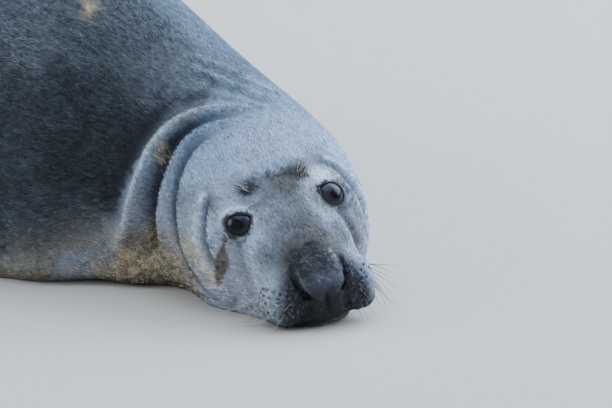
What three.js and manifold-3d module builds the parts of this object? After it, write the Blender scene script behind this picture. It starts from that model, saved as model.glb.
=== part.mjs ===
// A grey seal at rest: a life-size still model of the whole animal, lying on its belly
// with its head turned to its right and its chin on the ground.
// Millimetres. +Z is up, +X runs forward along the trunk, and +Y is the seal's left.
// The origin is on the ground, under the middle of the animal.
import * as THREE from "three";
import { LoftGeometry } from "three/addons/geometries/LoftGeometry.js";
import { mergeVertices } from "three/addons/utils/BufferGeometryUtils.js";
import Module from "manifold-3d";

const wasm = await Module();
wasm.setup();

// ---------------------------------------------------------------- driving dimensions

const BODY_LENGTH = 1750; // nose tip to tail tip, along the spine
const SNOUT = 118; // nose tip to the line between the eyes
const EYE_HEIGHT = 118; // the line between the eyes, above the ground
const GAP = 0.4; // between neighbouring pieces
const SIDES = { left: 1, right: -1 };

// How the head lies: the turns are about the vertical, the ear-to-ear and the nose-to-nape axis.
const HEAD_TURN = THREE.MathUtils.degToRad(-24.4);
const HEAD_DROP = THREE.MathUtils.degToRad(18.3);
const HEAD_ROLL = THREE.MathUtils.degToRad(10.8);

// Distances behind the nose tip at which the head ends and the trunk begins.
const HEAD_END = 215;
const TRUNK_START = 440;
const HEAD_AXIS = -40; // the spine's line through the head, from the line between the eyes
const SPINE_HEIGHT = 165; // the spine over the shoulders
const TAIL_HEIGHT = 62; // the spine at the tail tip
const TAIL_SWING = -170; // how far the hind end swings to the right

// Where the pieces part, as distances behind the nose tip.
const CUTS = { head: 205, neck: 430, chest: 760, belly: 1180, hips: 1590 };

// The body's sections, from nose to tail. from is the distance behind the nose tip, wide the
// half width, up and down the reach above and below the spine, level the height of the widest
// place, from the spine, and full how square the lower half is, 2 being an ellipse. Where down
// passes the ground the belly lies flat on it.
const SECTIONS = [
  { part: "nose tip", from: 0, wide: 18, up: -10, down: 38, level: -24, full: 2 },
  { part: "nose pad", from: 5, wide: 32, up: 6, down: 45, level: -24, full: 2.1 },
  { part: "lip", from: 14, wide: 46, up: 18, down: 50, level: -25, full: 2.3 },
  { part: "whisker pads", from: 28, wide: 57, up: 28, down: 55, level: -26, full: 2.6 },
  { part: "bridge", from: 53, wide: 64, up: 36, down: 63, level: -25, full: 2.8 },
  { part: "cheeks", from: 83, wide: 83, up: 44, down: 72, level: -24, full: 3 },
  { part: "eyes", from: 118, wide: 106, up: 55, down: 80, level: -18, full: 3.1 },
  { part: "temples", from: 158, wide: 118, up: 65, down: 90, level: -8, full: 3 },
  { part: "crown", from: 198, wide: 123, up: 74, down: 106, level: -2, full: 3 },
  { part: "nape", from: 250, wide: 131, up: 84, down: 172, level: -18, full: 3.6 },
  { part: "neck", from: 330, wide: 159, up: 102, down: 240, level: -52, full: 3.6 },
  { part: "shoulders", from: 440, wide: 194, up: 168, down: 240, level: -56, full: 3.4 },
  { part: "chest", from: 580, wide: 224, up: 219, down: 226, level: -50, full: 3.2 },
  { part: "midriff", from: 820, wide: 247, up: 249, down: 212, level: -40, full: 2.8 },
  { part: "loins", from: 1120, wide: 226, up: 212, down: 192, level: -34, full: 2.7 },
  { part: "hips", from: 1380, wide: 156, up: 128, down: 150, level: -24, full: 2.5 },
  { part: "ankles", from: 1560, wide: 84, up: 62, down: 98, level: -14, full: 2.2 },
  { part: "tail root", from: 1640, wide: 44, up: 30, down: 46, level: -4, full: 2 },
  { part: "tail", from: 1700, wide: 26, up: 12, down: 16, level: 0, full: 2 },
  { part: "tail tip", from: BODY_LENGTH, wide: 9, up: 4, down: 5, level: 0, full: 2 },
];
const POINTS_ROUND = 30;

// Rises and hollows of the face, for one side. at is ahead of, outside and above the middle
// of the line between the eyes, and both sides have them.
const FACE_RELIEF = [
  { part: "whisker pad", at: [84, 58, -68], reach: 28, rise: 8 },
  { part: "nostril hollow", at: [104, 26, -26], reach: 10, rise: -3 },
  { part: "brow", at: [-24, 36, 14], reach: 22, rise: 4 },
  { part: "hollow before the eye", at: [36, 42, -8], reach: 22, rise: -6 },
  { part: "eye socket", at: [2, 62, 2], reach: 21, rise: -9 },
];

const EYE = { radius: 20, at: [-11, 48.5, -11.6] };
// The mouth line, from the lip to its corner, and from there under the jaw.
const MOUTH = [
  [SNOUT + 30, -80],
  [SNOUT - 4, -81],
  [SNOUT - 40, -85],
  [SNOUT - 80, -79],
  [SNOUT - 112, -150],
];

// ---------------------------------------------------------------- solids

function solidOf(geometry) {
  const bare = new THREE.BufferGeometry().setIndex(geometry.index);
  bare.setAttribute("position", geometry.attributes.position);
  const merged = mergeVertices(bare, 1e-3);
  return new wasm.Manifold(
    new wasm.Mesh({
      numProp: 3,
      vertProperties: merged.attributes.position.array,
      triVerts: new Uint32Array(merged.index.array),
    }),
  );
}

function geometryOf(solid) {
  const mesh = solid.getMesh();
  const geometry = new THREE.BufferGeometry();
  geometry.setAttribute("position", new THREE.BufferAttribute(mesh.vertProperties, 3));
  geometry.setIndex(new THREE.BufferAttribute(mesh.triVerts, 1));
  geometry.computeVertexNormals();
  return geometry;
}

// The half of a solid that lies behind, or ahead of, a plane across the spine.
function behind(solid, from) {
  const frame = spineFrame(from);
  const forward = new THREE.Vector3().setFromMatrixColumn(frame, 0);
  const point = new THREE.Vector3().setFromMatrixPosition(frame);
  return solid.trimByPlane(forward.clone().negate().toArray(), -forward.dot(point) + GAP / 2);
}

function ahead(solid, from) {
  const frame = spineFrame(from);
  const forward = new THREE.Vector3().setFromMatrixColumn(frame, 0);
  const point = new THREE.Vector3().setFromMatrixPosition(frame);
  return solid.trimByPlane(forward.toArray(), forward.dot(point) + GAP / 2);
}

const onTheGround = (solid) => solid.trimByPlane([0, 0, 1], 0);

// ---------------------------------------------------------------- the spine

// The face's own frame: +X to the nose, +Y to the left eye, origin midway between the eyes.
const face = new THREE.Matrix4().compose(
  new THREE.Vector3(127, -64, EYE_HEIGHT),
  new THREE.Quaternion().setFromEuler(
    new THREE.Euler(HEAD_ROLL, HEAD_DROP, HEAD_TURN, "ZYX"),
  ),
  new THREE.Vector3(1, 1, 1),
);

const nape = new THREE.Vector3(SNOUT - HEAD_END, 0, HEAD_AXIS).applyMatrix4(face);
const shoulder = new THREE.Vector3(-180, -14, SPINE_HEIGHT);
const headForward = new THREE.Vector3().setFromMatrixColumn(face, 0);
const neckLine = new THREE.CubicBezierCurve3(
  nape,
  nape.clone().addScaledVector(headForward, -75),
  shoulder.clone().add(new THREE.Vector3(75, 0, 0)),
  shoulder,
);
const trunkLine = new THREE.QuadraticBezierCurve3(
  shoulder,
  new THREE.Vector3(-860, 0, SPINE_HEIGHT),
  new THREE.Vector3(-1480, TAIL_SWING, TAIL_HEIGHT),
);
const faceTurn = new THREE.Quaternion().setFromRotationMatrix(face);

// The spine's frame at a distance behind the nose tip: +X forward, +Y left, +Z up.
function spineFrame(from) {
  if (from <= HEAD_END)
    return face
      .clone()
      .multiply(new THREE.Matrix4().makeTranslation(SNOUT - from, 0, HEAD_AXIS));
  const one = new THREE.Vector3(1, 1, 1);
  if (from < TRUNK_START) {
    const t = (from - HEAD_END) / (TRUNK_START - HEAD_END);
    const level = new THREE.Quaternion();
    const turn = faceTurn.clone().slerp(level, THREE.MathUtils.smoothstep(t, 0, 1));
    return new THREE.Matrix4().compose(neckLine.getPointAt(t), turn, one);
  }
  const t = Math.min(1, (from - TRUNK_START) / (BODY_LENGTH - TRUNK_START));
  const back = trunkLine.getTangentAt(t);
  const heading = Math.atan2(-back.y, -back.x);
  const turn = new THREE.Quaternion().setFromAxisAngle(new THREE.Vector3(0, 0, 1), heading);
  return new THREE.Matrix4().compose(trunkLine.getPointAt(t), turn, one);
}

// ---------------------------------------------------------------- the body

// A section's measure at a distance behind the nose tip, on a curve through the table that
// has no overshoot between its rows.
function measure(name, from) {
  const rows = SECTIONS;
  const slope = (i) => {
    if (i <= 0 || i >= rows.length - 1) return null;
    const a = (rows[i][name] - rows[i - 1][name]) / (rows[i].from - rows[i - 1].from);
    const b = (rows[i + 1][name] - rows[i][name]) / (rows[i + 1].from - rows[i].from);
    return a * b <= 0 ? 0 : (2 * a * b) / (a + b);
  };
  let i = rows.findIndex((row) => row.from >= from);
  i = Math.max(0, i - 1);
  const [p, q] = [rows[i], rows[i + 1]];
  const span = q.from - p.from;
  const chord = (q[name] - p[name]) / span;
  const [m, n] = [slope(i) ?? chord, slope(i + 1) ?? chord];
  const t = (from - p.from) / span;
  const [t2, t3] = [t * t, t * t * t];
  return (
    p[name] * (2 * t3 - 3 * t2 + 1) +
    q[name] * (3 * t2 - 2 * t3) +
    span * (m * (t3 - 2 * t2 + t) + n * (t3 - t2))
  );
}

// Moves a point of the face in or out from the head's axis by the relief of both sides.
function withRelief(point) {
  let rise = 0;
  for (const bump of FACE_RELIEF) {
    for (const side of Object.values(SIDES)) {
      const at = new THREE.Vector3(bump.at[0], side * bump.at[1], bump.at[2]);
      rise += bump.rise * Math.exp(-point.distanceToSquared(at) / bump.reach ** 2);
    }
  }
  const outward = new THREE.Vector3(0, point.y, point.z - HEAD_AXIS).normalize();
  return point.addScaledVector(outward, rise);
}

const power = (x, exponent) => Math.sign(x) * Math.abs(x) ** exponent;

// One section's points, round the spine. grow makes the body that much larger all round.
function section(from, grow) {
  const [wide, up, down, level, full] = ["wide", "up", "down", "level", "full"].map((name) =>
    measure(name, from),
  );
  const frame = spineFrame(from);
  const points = [];
  for (let i = 0; i < POINTS_ROUND; i++) {
    const angle = (2 * Math.PI * i) / POINTS_ROUND;
    const upper = Math.sin(angle) >= 0;
    const exponent = upper ? 1 : 2 / full;
    const reach = (upper ? up - level : down + level) + grow;
    const point = new THREE.Vector3(
      SNOUT - from,
      -(wide + grow) * power(Math.cos(angle), exponent),
      HEAD_AXIS + level + reach * power(Math.sin(angle), exponent),
    );
    if (from <= HEAD_END) withRelief(point);
    point.add(new THREE.Vector3(from - SNOUT, 0, -HEAD_AXIS));
    points.push(point.applyMatrix4(frame));
  }
  return points;
}

function body(grow = 0) {
  const sections = [];
  let from = 0;
  while (from < BODY_LENGTH) {
    sections.push(section(from, grow));
    from += Math.min(6 + 0.07 * from, 60, 14 + 0.14 * (BODY_LENGTH - from));
  }
  sections.push(section(BODY_LENGTH, grow));
  return solidOf(new LoftGeometry(sections, { capStart: true, capEnd: true }));
}

function eyeball(side, grow = 0) {
  const ball = new THREE.SphereGeometry(EYE.radius + grow, 18, 10);
  const at = new THREE.Vector3(EYE.at[0], side * EYE.at[1], EYE.at[2]);
  ball.translate(...at.toArray()).applyMatrix4(face);
  return solidOf(ball);
}

// What lies under the mouth line, drawn in the head's side view and widened past both cheeks.
function jawRegion(grow) {
  const outline = new THREE.Shape();
  const line = new THREE.SplineCurve(MOUTH.slice(0, 4).map(([x, z]) => new THREE.Vector2(x, z)));
  outline.moveTo(MOUTH[0][0], -200);
  for (const p of line.getPoints(12)) outline.lineTo(p.x, p.y + grow);
  outline.lineTo(MOUTH[4][0] - grow, MOUTH[4][1]);
  outline.lineTo(MOUTH[4][0] - grow, -200);
  const breadth = 320;
  const slab = new THREE.ExtrudeGeometry(outline, { depth: breadth, bevelEnabled: false });
  // The outline's x and y are the face's x and z.
  slab.translate(0, 0, -breadth / 2).rotateX(Math.PI / 2).applyMatrix4(face);
  return solidOf(slab);
}

// ---------------------------------------------------------------- flippers

const FORE = {
  name: "fore",
  toes: 5,
  // Half width and half thickness at the root, the wrist, the palm and the toe ends.
  wide: [50, 52, 58, 60],
  thick: [26, 20, 12.5, 7],
  toeEnds: [0, -3, -10, -22, -38],
  claw: { length: 38, radius: 4.6, sink: 9, droop: 7 },
  across: (side) => new THREE.Vector3(0.45, side, -0.12),
  line: (side) => [
    new THREE.Vector3(-326, side * 158, 116),
    new THREE.Vector3(-376, side * 230, 80),
    new THREE.Vector3(-450, side * 280, 30),
    new THREE.Vector3(-560, side * 322, 10),
  ],
};

const HIND = {
  name: "hind",
  toes: 5,
  wide: [40, 37, 48, 66],
  thick: [26, 19, 12, 6.5],
  toeEnds: [0, -22, -32, -22, 2],
  claw: { length: 26, radius: 3.2, sink: 8, droop: 2 },
  across: (side) => new THREE.Vector3(0, side * 0.5, 1),
  line: (side) => {
    const at = (from, out, height) => {
      const point = new THREE.Vector3(0, side * out, 0).applyMatrix4(spineFrame(from));
      return point.setZ(height);
    };
    const end = at(BODY_LENGTH, 92, 55);
    const back = trunkLine.getTangentAt(1).setZ(0).normalize();
    return [
      at(1530, 34, 88),
      at(1620, 56, 74),
      at(1700, 74, 64),
      end.clone().addScaledVector(back, 110),
    ];
  },
};

// A flipper's frame at a share of its length: +X to the toes, +Y to the first toe's edge.
function flipperFrame(limb, side, share) {
  const line = new THREE.CatmullRomCurve3(limb.line(side));
  const along = line.getTangentAt(Math.min(1, share));
  const across = limb.across(side);
  across.addScaledVector(along, -across.dot(along)).normalize();
  const palm = new THREE.Vector3().crossVectors(along, across);
  const at = line.getPointAt(Math.min(1, share));
  return new THREE.Matrix4().makeBasis(along, across, palm).setPosition(at);
}

// A value given at the root, the wrist, the palm and the toe ends, at a share of the length.
function alongLimb(values, share) {
  const curve = new THREE.CatmullRomCurve3(values.map((v, i) => new THREE.Vector3(i, v, 0)));
  return curve.getPoint(share).y;
}

// How far the toe under a place across the flipper reaches past its end, and its ridge.
function toeAt(limb, place) {
  const t = THREE.MathUtils.clamp((1 - place) / 2, 0, 1) * (limb.toes - 1);
  const i = Math.min(limb.toes - 2, Math.floor(t));
  const reach = THREE.MathUtils.lerp(limb.toeEnds[i], limb.toeEnds[i + 1], t - i);
  const ridge = Math.cos(2 * Math.PI * t);
  return { reach, ridge };
}

function flipper(limb, side) {
  const rings = 9;
  const sections = [];
  for (let r = 0; r <= rings; r++) {
    const share = r / rings;
    const frame = flipperFrame(limb, side, share);
    const closing = share > 0.86 ? Math.sqrt(Math.max(0.05, 1 - ((share - 0.86) / 0.15) ** 2)) : 1;
    const points = [];
    const count = 18;
    for (let i = 0; i < count; i++) {
      const angle = (2 * Math.PI * i) / count;
      const place = power(Math.cos(angle), 0.85);
      const toe = toeAt(limb, place);
      const webbing = THREE.MathUtils.smoothstep(share, 0.35, 0.9);
      const half = alongLimb(limb.thick, share) * closing * (1 + 0.28 * webbing * toe.ridge);
      const past = (toe.reach + 5 * toe.ridge) * THREE.MathUtils.smoothstep(share, 0.4, 1);
      const wide = alongLimb(limb.wide, share) * (0.9 + 0.1 * closing);
      points.push(new THREE.Vector3(past, place * wide, half * Math.sin(angle)).applyMatrix4(frame));
    }
    sections.push(points);
  }
  return solidOf(new LoftGeometry(sections, { capStart: true, capEnd: true }));
}

// A claw: a bent spike that leaves the toe's end, in the flipper's frame.
function claw(limb, side, toe, grow = 0) {
  const place = 1 - (2 * toe) / (limb.toes - 1);
  const wide = limb.wide[3] * 0.86;
  const { length, radius, sink, droop } = limb.claw;
  const rings = 3;
  const sections = [];
  const frame = flipperFrame(limb, side, 1);
  const palmSide = limb === FORE ? side : 0;
  for (let r = 0; r <= rings; r++) {
    const t = r / rings;
    const out = limb.toeEnds[toe] - sink + length * t;
    const bend = -droop * t * t;
    const round = (radius + grow) * Math.sqrt(1 - 0.93 * t);
    const points = [];
    const count = 6;
    for (let i = 0; i < count; i++) {
      const angle = (2 * Math.PI * i) / count;
      points.push(
        new THREE.Vector3(
          out,
          place * wide + round * 0.75 * Math.cos(angle),
          -palmSide * bend + round * Math.sin(angle),
        ).applyMatrix4(frame),
      );
    }
    sections.push(points);
  }
  return solidOf(new LoftGeometry(sections, { capStart: true, capEnd: true }));
}

// ---------------------------------------------------------------- finishes

const finish = (color, roughness) =>
  new THREE.MeshStandardMaterial({ color, roughness, metalness: 0 });
const backFur = finish(0x3c4650, 0.6);
const paleFur = finish(0x9aa5ad, 0.65);
const flipperFur = finish(0x4a5055, 0.6);
const eyeGloss = finish(0x14161c, 0.06);
const clawHorn = finish(0x2a2622, 0.4);

// ---------------------------------------------------------------- the seal

const seal = new THREE.Group();

function add(name, solid, material) {
  const mesh = new THREE.Mesh(geometryOf(solid), material);
  mesh.name = name;
  seal.add(mesh);
}

const whole = onTheGround(body());
const clearance = body(GAP);
const mask = jawRegion(0);
const maskGap = jawRegion(GAP);

let front = ahead(whole, CUTS.head);
for (const side of Object.values(SIDES)) front = front.subtract(eyeball(side, GAP));
add("head", front.subtract(maskGap), paleFur);
add("lower_jaw", front.intersect(mask), paleFur);
add("neck", ahead(behind(whole, CUTS.head), CUTS.neck), paleFur);
add("chest", ahead(behind(whole, CUTS.neck), CUTS.chest), backFur);
add("belly", ahead(behind(whole, CUTS.chest), CUTS.belly), backFur);
add("hips", ahead(behind(whole, CUTS.belly), CUTS.hips), backFur);
add("tail", behind(whole, CUTS.hips), backFur);

for (const [sideName, side] of Object.entries(SIDES)) {
  add(`eye_${sideName}`, eyeball(side), eyeGloss);
  for (const limb of [FORE, HIND]) {
    let flesh = onTheGround(flipper(limb, side).subtract(clearance));
    for (let toe = 0; toe < limb.toes; toe++) {
      const spike = onTheGround(claw(limb, side, toe));
      flesh = flesh.subtract(claw(limb, side, toe, GAP));
      add(`${limb.name}_claw_${sideName}_${toe + 1}`, spike, clawHorn);
    }
    add(`${limb.name}_flipper_${sideName}`, flesh, flipperFur);
  }
}

// The origin goes to the middle of the animal's footprint.
const box = new THREE.Box3().setFromObject(seal);
const middle = box.getCenter(new THREE.Vector3());
seal.position.set(-middle.x, -middle.y, -box.min.z);

export default seal;
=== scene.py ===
# The looks of a life-size grey seal that lies on its belly with its head turned to its right.
# Metres, in the frame of the solids: +X forward along the trunk, +Y the seal's left, +Z up.
import math

import bpy
import numpy as np
from mathutils import Euler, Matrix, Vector
from mathutils.bvhtree import BVHTree


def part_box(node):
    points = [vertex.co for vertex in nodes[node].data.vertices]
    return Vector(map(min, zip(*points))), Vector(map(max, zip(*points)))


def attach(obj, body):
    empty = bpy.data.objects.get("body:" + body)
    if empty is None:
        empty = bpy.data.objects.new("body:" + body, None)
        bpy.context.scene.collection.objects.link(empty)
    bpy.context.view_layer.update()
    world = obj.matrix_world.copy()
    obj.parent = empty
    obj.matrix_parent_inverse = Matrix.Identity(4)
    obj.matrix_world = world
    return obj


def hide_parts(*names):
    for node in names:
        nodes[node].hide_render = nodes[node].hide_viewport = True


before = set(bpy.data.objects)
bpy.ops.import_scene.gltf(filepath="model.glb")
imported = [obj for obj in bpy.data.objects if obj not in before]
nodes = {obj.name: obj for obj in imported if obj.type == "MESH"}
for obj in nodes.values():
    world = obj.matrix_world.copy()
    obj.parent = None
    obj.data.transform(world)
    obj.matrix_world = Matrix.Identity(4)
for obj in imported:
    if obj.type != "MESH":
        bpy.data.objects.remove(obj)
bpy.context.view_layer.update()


# ---------------------------------------------------------------- hide
# The seal's hide from lips to hind toes: skin over blubber, in one piece with no seam. It is
# cast from the flesh solids, smoothed, and drawn in by the depth of the coat. The folds,
# lids, nostrils and lips are then pressed and pulled into it.

FLIPPERS = [f"{limb}_flipper_{side}" for limb in ("fore", "hind") for side in ("left", "right")]
FLESH = ["head", "lower_jaw", "neck", "chest", "belly", "hips", "tail"] + FLIPPERS
EYES = ["eye_left", "eye_right"]


def only(*objects):
    bpy.ops.object.select_all(action="DESELECT")
    for each in objects:
        each.select_set(True)
    bpy.context.view_layer.objects.active = objects[0]


def edit(thing, operator, wanted=None, **settings):
    """Runs a mesh operator on all faces of a thing, or on the wanted ones."""
    only(thing)
    bpy.ops.object.mode_set(mode="EDIT")
    bpy.ops.mesh.select_mode(type="FACE")
    bpy.ops.mesh.select_all(action="SELECT" if wanted is None else "DESELECT")
    if wanted is not None:
        bpy.ops.object.mode_set(mode="OBJECT")
        thing.data.polygons.foreach_set("select", wanted)
        bpy.ops.object.mode_set(mode="EDIT")
    operator(**settings)
    bpy.ops.object.mode_set(mode="OBJECT")


def apply(thing, kind, **settings):
    """Adds a modifier with its settings and applies it."""
    modifier = thing.modifiers.new(kind.lower(), kind)
    for key, value in settings.items():
        setattr(modifier, key, value)
    only(thing)
    bpy.ops.object.modifier_apply(modifier=modifier.name)


def copy_of(names, name):
    """One free mesh made of copies of these solids, its loose triangles merged."""
    only(*[nodes[n] for n in names])
    bpy.ops.object.duplicate()
    bpy.ops.object.join()
    made = bpy.context.object
    made.parent = None
    for key in list(made.keys()):
        del made[key]
    made.name = made.data.name = name
    made.data.materials.clear()
    edit(made, bpy.ops.mesh.remove_doubles, threshold=1e-6)
    return made


def read(items, field):
    found = np.empty(len(items) * 3, np.float32)
    items.foreach_get(field, found)
    return found.reshape(-1, 3).astype(float)


def points_of(thing):
    return read(thing.data.vertices, "co")


def points_and_normals(thing):
    return points_of(thing), read(thing.data.vertex_normals, "vector")


def put_points(thing, points):
    thing.data.vertices.foreach_set("co", np.ascontiguousarray(points, np.float32).ravel())
    thing.data.update()


def put_values(mesh, name, values):
    """Keeps a number at each vertex, for a material to read."""
    layer = mesh.attributes.new(name, "FLOAT", "POINT")
    layer.data.foreach_set("value", np.asarray(values, np.float32))


def ramp(value, low, high):
    """0 up to low and 1 from high on."""
    t = np.clip((value - low) / (high - low), 0, 1)
    return t * t * (3 - 2 * t)


def fall(value, low, high):
    """1 up to low and 0 from high on."""
    return 1 - ramp(value, low, high)


def bell(distance, reach):
    return np.exp(-((distance / reach) ** 2))


def unit(vectors):
    return vectors / np.linalg.norm(vectors, axis=-1, keepdims=True)


def box_of(name):
    return np.array([list(corner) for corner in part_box(name)])


def in_box(points, name, margin):
    low, high = box_of(name)
    return np.all((points > low - margin) & (points < high + margin), axis=1)


# The face's own frame, in millimetres from midway between the corneas: x to the nose, y to
# the left eye and z up. The head turns right, drops its nose and rolls its left side up.
turn = np.array(Euler([math.radians(a) for a in (10.8, 18.3, -24.4)], "XYZ").to_matrix())
face_origin = np.mean([box_of(n).mean(0) for n in EYES], axis=0) - turn @ (-0.011, 0, -0.0116)


def to_face(points):
    return (points - face_origin) @ turn * 1000


def from_face(points):
    return np.asarray(points, float) / 1000 @ turn.T + face_origin


def mirror_of(face_points):
    """What takes each point to the left side, which both sides' features are given for."""
    return np.where(face_points[:, 1:2] < 0, (1, -1, 1), (1, 1, 1))


# The spine, from nose to tail tip, as points and the coat's direction along it.
def bezier(controls, count):
    t = np.linspace(0, 1, count)[:, None]
    rows = [np.repeat(np.array([c], float), count, 0) for c in controls]
    while len(rows) > 1:
        rows = [a * (1 - t) + b * t for a, b in zip(rows, rows[1:])]
    return rows[0]


nape = from_face([-97, 0, -40])
shoulder, rump, tail_tip = face_origin + [
    (-0.307, 0.05, 0.047), (-0.987, 0.064, 0.047), (-1.607, -0.106, -0.056)
]
spine = np.concatenate(
    [
        bezier([from_face([118, 0, -55]), nape], 22)[:-1],
        bezier([nape, from_face([-172, 0, -40]), shoulder + (0.075, 0, 0), shoulder], 22)[:-1],
        bezier([shoulder, rump, tail_tip], 90),
    ]
)
spine_from_nose = np.cumsum(np.linalg.norm(np.diff(spine, axis=0, prepend=spine[:1]), axis=1))
spine_back = unit(np.gradient(spine, axis=0))


def nearest(points, line, at_once=40000):
    """For each point, which of the line's points is nearest, and how far off it is."""
    found, squared = np.empty(len(points), int), np.empty(len(points))
    for i in range(0, len(points), at_once):
        squares = ((points[i : i + at_once, None] - line) ** 2).sum(2)
        found[i : i + at_once] = squares.argmin(1)
        squared[i : i + at_once] = squares.min(1)
    return found, np.sqrt(squared)


def on_spine(points):
    """For each point: how far behind the nose it is, the way back along the spine, and its
    angle round the spine, 0 at the right flank and a quarter turn at the top."""
    found, _ = nearest(points, spine)
    back = spine_back[found]
    out = points - spine[found]
    along = (out * back).sum(1)
    out -= along[:, None] * back
    left = unit(np.cross(back, (0, 0, 1.0)))
    up = np.cross(left, back)
    angle = np.arctan2((out * up).sum(1), -(out * left).sum(1))
    return spine_from_nose[found] + along, back, angle


def tree_of(thing):
    return BVHTree.FromObject(thing, bpy.context.evaluated_depsgraph_get())


limb_trees = {n: tree_of(nodes[n]) for n in FLIPPERS}
trunk_trees = [tree_of(nodes[n]) for n in ("chest", "belly", "hips", "tail")]


def near_flipper(points, reach):
    """1 on a flipper's own surface, falling to 0 at reach from it."""
    gap = np.full(len(points), 9.0)
    for name, tree in limb_trees.items():
        for i in np.nonzero(in_box(points, name, reach))[0]:
            gap[i] = min(gap[i], tree.find_nearest(Vector(points[i]))[3])
    return fall(gap, reach * 0.25, reach)


# The flippers' blades are thinner than the cells that the hide is cast in, so they are
# swollen first and drawn back afterwards.
CELL, SWELL = 0.0086, 0.005
skin = copy_of(FLESH + EYES, "skin")
points, normals = points_and_normals(skin)
put_points(skin, points + normals * SWELL * (near_flipper(points, 0.0004) > 0.5)[:, None])
apply(skin, "REMESH", mode="VOXEL", voxel_size=CELL)


def smooth(amount, repeats):
    """Evens the skin out, by as much as amount says at each vertex."""
    group = skin.vertex_groups.new(name="smooth")
    for level in np.unique(np.round(amount, 1)):
        if level > 0:
            chosen = np.nonzero(np.round(amount, 1) == level)[0]
            group.add(chosen.tolist(), float(level), "REPLACE")
    apply(skin, "SMOOTH", factor=0.5, iterations=repeats, vertex_group=group.name)
    skin.vertex_groups.clear()


def split(chosen):
    """Cuts faces of the skin in four, chosen by their middles."""
    wanted = chosen(read(skin.data.polygons, "center"))
    edit(skin, bpy.ops.mesh.subdivide, wanted, number_cuts=1, ngon=False)


# The solids' facets go: long ones on the trunk, short ones on the head and flippers.
points = points_of(skin)
behind = on_spine(points)[0]
limb = near_flipper(points, 0.03)
smooth(ramp(behind, 0.26, 0.46) * fall(behind, 1.5, 1.62) * (1 - limb), 60)
smooth(1 - limb, 5)

# The head, neck and flippers get smaller faces, but not where they lie on the ground.
LAID = 0.003
split(
    lambda middles: (on_spine(middles)[0] < 0.38) & (middles[:, 2] > LAID + 0.001)
    | (near_flipper(middles, 0.016) > 0.5)
)
points = points_of(skin)
limb = near_flipper(points, 0.03)
for i in np.nonzero(limb > 0.6)[0]:
    place = Vector(points[i])
    best = min((tree.find_nearest(place) for tree in limb_trees.values()), key=lambda hit: hit[3])
    from_trunk = min(tree.find_nearest(place)[3] for tree in trunk_trees)
    share = float(ramp(from_trunk, 0.002, 0.007))
    points[i] += (np.array(best[0]) - points[i]) * share
put_points(skin, points)
smooth(1 - 0.6 * limb, 2)

# Five toes run out to the claws of each flipper, with a web between them.
points, normals = points_and_normals(skin)
for name in FLIPPERS:
    low, high = box_of(name)
    root = (low + high) / 2 + (0.25 * (high[0] - low[0]), 0, 0)
    here = np.nonzero(in_box(points, name, 0.004))[0]
    toe_lift = np.zeros(len(here))
    for k in range(1, 6):
        claw = box_of(name.replace("flipper", "claw") + f"_{k}").mean(0)
        wrist = root + (claw - root) * (0, 0.35, 0.35)
        length = np.linalg.norm(claw - wrist)
        toe = (claw - wrist) / length
        reach = points[here] - wrist
        along = reach @ toe
        gap = np.linalg.norm(reach - along[:, None] * toe, axis=1)
        toe_lift = np.maximum(toe_lift, bell(gap, 0.008) * ramp(along / length, 0.1, 0.5))
    points[here] += normals[here] * (toe_lift * 0.0022 - 0.0007)[:, None] * limb[here, None]
put_points(skin, points)

# The coat's depth comes off all round, and the underside is set down on the ground.
points, normals = points_and_normals(skin)
behind = on_spine(points)[0]
coat_depth = (0.0008 + 0.0014 * ramp(behind, 0.12, 0.45)) * (1 - 0.7 * limb)
points -= normals * coat_depth[:, None]
sole = (normals[:, 2] < -0.8) & (points[:, 2] < 0.012)
points[sole, 2] = 0.0006
# The throat and the root of the neck sag on to the ground, and spread.
sag = bell(behind - 0.27, 0.095) * (1 - limb)
points[:, 2] -= 0.75 * sag * points[:, 2] * fall(points[:, 2], 0.0, 0.052)
spread = bell(behind - 0.30, 0.10) * (1 - limb) * (0.010 + 0.026 * ramp(-normals[:, 1], -0.2, 0.4))
spread *= bell(points[:, 2] - 0.010, 0.030)
points[:, :2] += normals[:, :2] * spread[:, None]
put_points(skin, points)


def line_through(places, count=60):
    """A smooth line through places in the face's frame."""
    places = np.array(places, float)
    ends = np.concatenate([[2 * places[0] - places[1]], places, [2 * places[-1] - places[-2]]])
    found = []
    each = max(2, count // (len(places) - 1))
    t = np.linspace(0, 1, each, endpoint=False)[:, None]
    for a, b, c, d in zip(ends, ends[1:], ends[2:], ends[3:]):
        bend = (2 * a - 5 * b + 4 * c - d) * t**2 + (3 * b - a - 3 * c + d) * t**3
        found.append(0.5 * (2 * b + (c - a) * t + bend))
    return np.concatenate(found + [places[-1:]])


def from_line(points, places):
    """Each point's distance from the line, and how far along it that is, 0 to 1."""
    line = line_through(places)
    found, gap = nearest(points, line)
    return gap, found / (len(line) - 1)


# The hide bunches behind the head on the inside of the turn: two rolls, each with a deep
# crease on its head side. Each line has a width and a height at its upper and lower ends.
CREASE_1 = [
    (-116, 16, 41), (-120, -28, 40), (-120, -60, 32), (-99, -92, 11), (-65, -114, -19), (-31, -116, -56),
    (2, -104, -84),
]
ROLL_1 = [
    (-126, 22, 43), (-130, -5, 44), (-133, -47, 41), (-123, -80, 24), (-97, -110, -6), (-83, -119, -23),
    (-62, -119, -78),
]
CREASE_2 = [
    (-138, 34, 41), (-134, 10, 43), (-144, -37, 45), (-142, -74, 34), (-126, -99, 12), (-112, -122, -27),
    (-103, -129, -80),
]
ROLL_2 = [
    (-152, 40, 40), (-140, 20, 44), (-150, -16, 49), (-154, -65, 42), (-148, -96, 25), (-136, -122, -6),
    (-133, -138, -50), (-139, -147, -89),
]
HEAD_EDGE = [
    (-107, 10, 39), (-112, -28, 39), (-112, -58, 30), (-92, -88, 9), (-58, -109, -19), (-24, -111, -56),
    (8, -99, -82),
]
BODY_EDGE = [
    (-168, 20, 50), (-172, -20, 54), (-174, -66, 46), (-168, -104, 26), (-158, -134, -8), (-156, -152, -55),
]
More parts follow.
